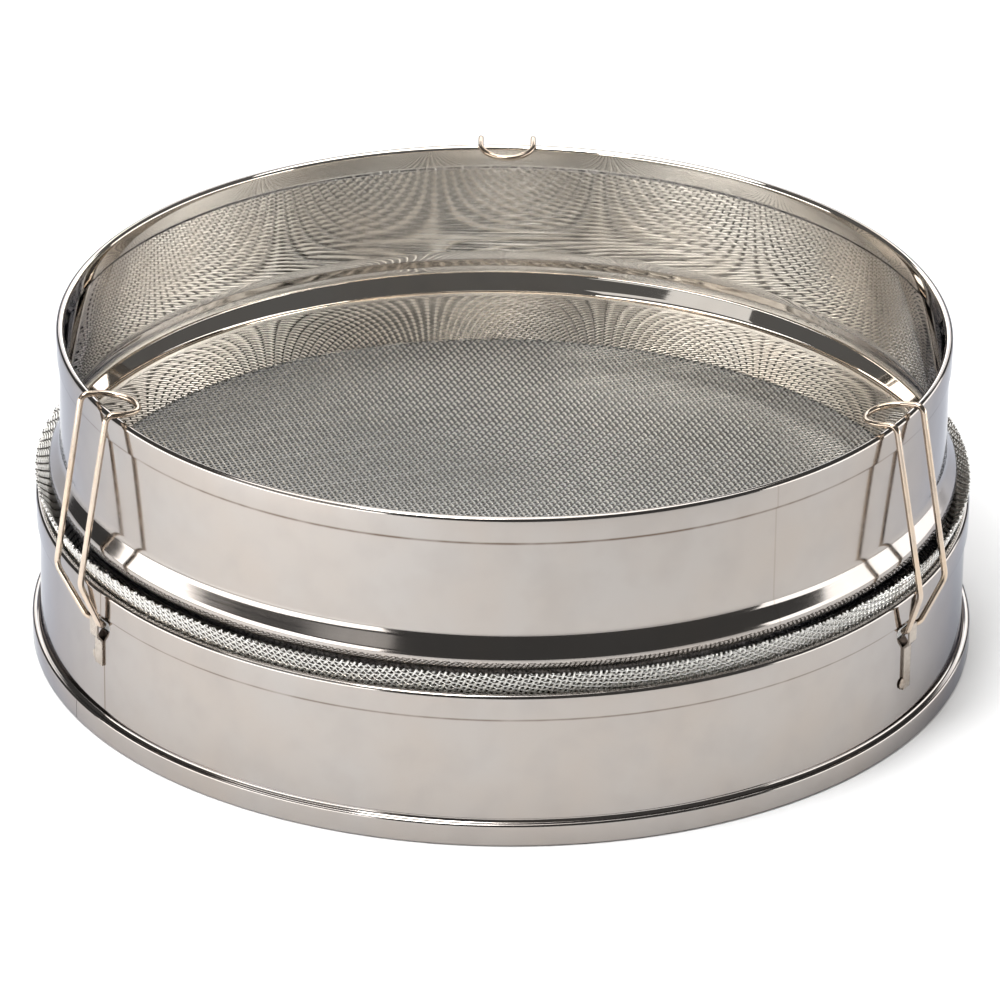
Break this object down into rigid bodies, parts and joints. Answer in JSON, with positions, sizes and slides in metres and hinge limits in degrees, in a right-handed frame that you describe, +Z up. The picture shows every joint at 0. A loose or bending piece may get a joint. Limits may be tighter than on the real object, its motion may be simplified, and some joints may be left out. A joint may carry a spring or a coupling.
{
  "type": "drum sieve",
  "caption": "Round kitchen drum sieve: stacked steel hoops clamp a woven wire screen and are held by wire clips that swing outward so that hoop and screen lift away.",
  "frame": {"origin": "on the surface under the foot ring, below the middle of the outline seen from above; the drum's own axis stands 2.4 mm in front of it because the rear clip reaches past the foot", "axes": "+Z up along the drum's axis, -Y towards the front between the left and right clips, +X to the right clip's side"},
  "size_m": [0.3194, 0.3242, 0.1165],
  "materials": {
    "upper_hoop": "polished stainless sheet",
    "lower_hoop": "polished stainless sheet",
    "foot_ring": "polished stainless sheet",
    "woven_screen": "plain woven stainless wire",
    "clip_left": "bright drawn spring wire",
    "clip_right": "bright drawn spring wire",
    "clip_rear": "bright drawn spring wire",
    "anchor_strap_left": "satin strip with darkened weld",
    "anchor_strap_right": "satin strip with darkened weld",
    "anchor_strap_rear": "satin strip with darkened weld"
  },
  "bodies": {
    "base": {"lower_hoop": "lower_hoop", "foot_ring": "foot_ring", "anchor_strap_left": "anchor_strap_left", "anchor_strap_right": "anchor_strap_right", "anchor_strap_rear": "anchor_strap_rear"},
    "hoop": {"upper_hoop": "upper_hoop"},
    "screen": {"woven_screen": "woven_screen"},
    "left": {"clip_left": "clip_left"},
    "right": {"clip_right": "clip_right"},
    "rear": {"clip_rear": "clip_rear"}
  },
  "joints": [
    {"name": "hoop_lift", "type": "slide", "parent": "base", "child": "hoop", "axis": [0, 0, 1], "range_m": [0, 0.009]},
    {"name": "screen_lift", "type": "slide", "parent": "base", "child": "screen", "axis": [0, 0, 1], "range_m": [0, 0.0038]},
    {"name": "clip_left_swing", "type": "hinge", "parent": "base", "child": "left", "pos_m": [-0.13197, -0.08743, 0.0414], "axis": [0.5417, -0.8406, 0], "range_deg": [0, 80]},
    {"name": "clip_right_swing", "type": "hinge", "parent": "base", "child": "right", "pos_m": [0.13372, -0.08465, 0.0414], "axis": [0.524, 0.8517, 0], "range_deg": [0, 80]},
    {"name": "clip_rear_swing", "type": "hinge", "parent": "base", "child": "rear", "pos_m": [0, 0.15462, 0.0414], "axis": [-1, 0, 0], "range_deg": [0, 80]}
  ],
  "couplings": [
    {"joint": "screen_lift", "follows": "hoop_lift", "ratio": 0.42},
    {"joint": "clip_left_swing", "follows": "hoop_lift", "rad_per_m": 155.1},
    {"joint": "clip_right_swing", "follows": "hoop_lift", "rad_per_m": 155.1},
    {"joint": "clip_rear_swing", "follows": "hoop_lift", "rad_per_m": 155.1}
  ]
}
